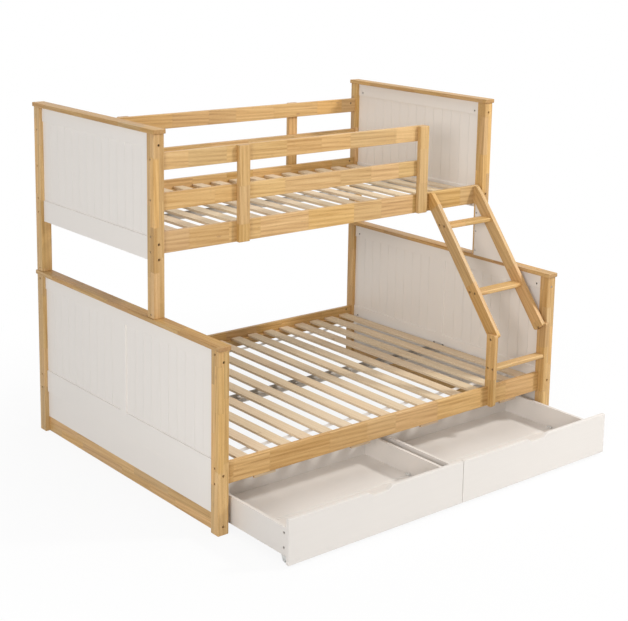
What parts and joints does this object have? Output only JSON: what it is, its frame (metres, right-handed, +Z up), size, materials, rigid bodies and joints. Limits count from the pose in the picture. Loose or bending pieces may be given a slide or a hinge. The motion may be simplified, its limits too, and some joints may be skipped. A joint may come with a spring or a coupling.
{
  "type": "bunk bed",
  "caption": "Wooden twin-over-full bunk bed with white grooved end panels, guard rails, slanted ladder and roll-out under-bed drawers with finger notches.",
  "frame": {"origin": "on the floor below the middle of the whole bed, with its drawers standing as far open as at rest", "axes": "+X along the bed towards the ladder end, +Y from the ladder side to the wall side, +Z up"},
  "size_m": [2, 1.896, 1.594],
  "materials": {
    "oak": "honey-coloured satin lacquer",
    "panel_paint": "warm white satin paint",
    "drawer_paint": "warm white satin paint",
    "slat": "bare sanded softwood",
    "steel": "light grey powder coat",
    "wheel": "grey moulded nylon"
  },
  "bodies": {
    "bed": {"guard_back_left_upright": "oak", "guard_back_lower_rail": "oak", "guard_back_right_upright": "oak", "guard_back_top_rail": "oak", "guard_front_left_upright": "oak", "guard_front_lower_rail": "oak", "guard_front_right_upright": "oak", "guard_front_top_rail": "oak", "ladder_bottom_rung": "oak", "ladder_left_leg": "oak", "ladder_left_stringer": "oak", "ladder_middle_rung": "oak", "ladder_right_leg": "oak", "ladder_right_stringer": "oak", "ladder_top_rung": "oak", "lower_back_side_rail": "oak", "lower_centre_beam": "steel", "lower_front_side_rail": "oak", "lower_left_back_post": "oak", "lower_left_base_rail": "oak", "lower_left_cap": "oak", "lower_left_end_panel": "panel_paint", "lower_left_front_post": "oak", "lower_right_back_post": "oak", "lower_right_base_rail": "oak", "lower_right_cap": "oak", "lower_right_end_panel": "panel_paint", "lower_right_front_post": "oak", "lower_slats": "slat", "upper_back_side_rail": "oak", "upper_centre_beam": "steel", "upper_front_side_rail": "oak", "upper_left_back_post": "oak", "upper_left_cap": "oak", "upper_left_end_panel": "panel_paint", "upper_left_front_post": "oak", "upper_right_back_post": "oak", "upper_right_cap": "oak", "upper_right_end_panel": "panel_paint", "upper_right_front_post": "oak", "upper_right_gusset": "panel_paint", "upper_slats": "slat"},
    "left_drawer": {"drawer_left_back": "drawer_paint", "drawer_left_floor": "drawer_paint", "drawer_left_front": "drawer_paint", "drawer_left_left_side": "drawer_paint", "drawer_left_right_side": "drawer_paint"},
    "right_drawer": {"drawer_right_back": "drawer_paint", "drawer_right_floor": "drawer_paint", "drawer_right_front": "drawer_paint", "drawer_right_left_side": "drawer_paint", "drawer_right_right_side": "drawer_paint"},
    "left_drawer_front_left_wheel": {"drawer_left_wheel_front_left": "wheel"},
    "left_drawer_front_right_wheel": {"drawer_left_wheel_front_right": "wheel"},
    "left_drawer_back_left_wheel": {"drawer_left_wheel_back_left": "wheel"},
    "left_drawer_back_right_wheel": {"drawer_left_wheel_back_right": "wheel"},
    "right_drawer_front_left_wheel": {"drawer_right_wheel_front_left": "wheel"},
    "right_drawer_front_right_wheel": {"drawer_right_wheel_front_right": "wheel"},
    "right_drawer_back_left_wheel": {"drawer_right_wheel_back_left": "wheel"},
    "right_drawer_back_right_wheel": {"drawer_right_wheel_back_right": "wheel"}
  },
  "joints": [
    {"name": "left_drawer_slide", "type": "slide", "parent": "bed", "child": "left_drawer", "axis": [0, -1, 0], "range_m": [-0.4095, 0.25]},
    {"name": "right_drawer_slide", "type": "slide", "parent": "bed", "child": "right_drawer", "axis": [0, -1, 0], "range_m": [-0.4095, 0.25]},
    {"name": "left_drawer_front_left_wheel_spin", "type": "hinge", "parent": "left_drawer", "child": "left_drawer_front_left_wheel", "pos_m": [-0.9127, -0.894, 0.014], "axis": [1, 0, 0], "continuous": true},
    {"name": "left_drawer_front_right_wheel_spin", "type": "hinge", "parent": "left_drawer", "child": "left_drawer_front_right_wheel", "pos_m": [-0.0288, -0.894, 0.014], "axis": [1, 0, 0], "continuous": true},
    {"name": "left_drawer_back_left_wheel_spin", "type": "hinge", "parent": "left_drawer", "child": "left_drawer_back_left_wheel", "pos_m": [-0.9127, -0.371, 0.014], "axis": [1, 0, 0], "continuous": true},
    {"name": "left_drawer_back_right_wheel_spin", "type": "hinge", "parent": "left_drawer", "child": "left_drawer_back_right_wheel", "pos_m": [-0.0288, -0.371, 0.014], "axis": [1, 0, 0], "continuous": true},
    {"name": "right_drawer_front_left_wheel_spin", "type": "hinge", "parent": "right_drawer", "child": "right_drawer_front_left_wheel", "pos_m": [0.0288, -0.894, 0.014], "axis": [1, 0, 0], "continuous": true},
    {"name": "right_drawer_front_right_wheel_spin", "type": "hinge", "parent": "right_drawer", "child": "right_drawer_front_right_wheel", "pos_m": [0.9127, -0.894, 0.014], "axis": [1, 0, 0], "continuous": true},
    {"name": "right_drawer_back_left_wheel_spin", "type": "hinge", "parent": "right_drawer", "child": "right_drawer_back_left_wheel", "pos_m": [0.0288, -0.371, 0.014], "axis": [1, 0, 0], "continuous": true},
    {"name": "right_drawer_back_right_wheel_spin", "type": "hinge", "parent": "right_drawer", "child": "right_drawer_back_right_wheel", "pos_m": [0.9127, -0.371, 0.014], "axis": [1, 0, 0], "continuous": true}
  ],
  "couplings": [
    {"joint": "left_drawer_front_left_wheel_spin", "follows": "left_drawer_slide", "rad_per_m": 71.429},
    {"joint": "left_drawer_front_right_wheel_spin", "follows": "left_drawer_slide", "rad_per_m": 71.429},
    {"joint": "left_drawer_back_left_wheel_spin", "follows": "left_drawer_slide", "rad_per_m": 71.429},
    {"joint": "left_drawer_back_right_wheel_spin", "follows": "left_drawer_slide", "rad_per_m": 71.429},
    {"joint": "right_drawer_front_left_wheel_spin", "follows": "right_drawer_slide", "rad_per_m": 71.429},
    {"joint": "right_drawer_front_right_wheel_spin", "follows": "right_drawer_slide", "rad_per_m": 71.429},
    {"joint": "right_drawer_back_left_wheel_spin", "follows": "right_drawer_slide", "rad_per_m": 71.429},
    {"joint": "right_drawer_back_right_wheel_spin", "follows": "right_drawer_slide", "rad_per_m": 71.429}
  ]
}
